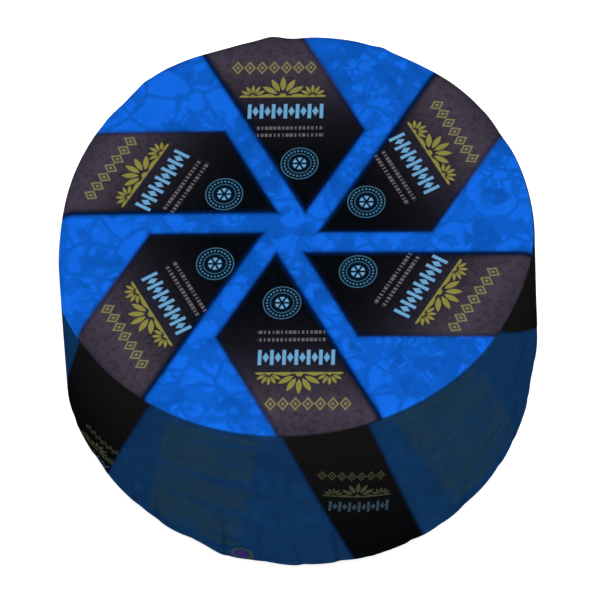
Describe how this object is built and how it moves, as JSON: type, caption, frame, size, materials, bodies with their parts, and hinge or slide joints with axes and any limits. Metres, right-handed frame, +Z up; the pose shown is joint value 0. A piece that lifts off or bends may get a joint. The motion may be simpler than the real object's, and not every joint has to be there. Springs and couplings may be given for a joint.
{
  "type": "foil-wrapped blue cheese wheel",
  "caption": "Whole drum-shaped wheel of blue cheese shut in printed foil, marbled blue on top with dark label panels in a pinwheel and a dark navy wall.",
  "frame": {"origin": "centre of the underside, on the surface that the wheel stands on", "axes": "+Z up along the wheel's axis; +X along one of the printed strips that cross the middle of the top, so the label panels start at multiples of 60 degrees round +Z"},
  "size_m": [0.1961, 0.1978, 0.1053],
  "materials": {
    "printed_foil": "satin"
  },
  "bodies": {
    "root": {"wrapped_wheel": "printed_foil"}
  },
  "joints": []
}
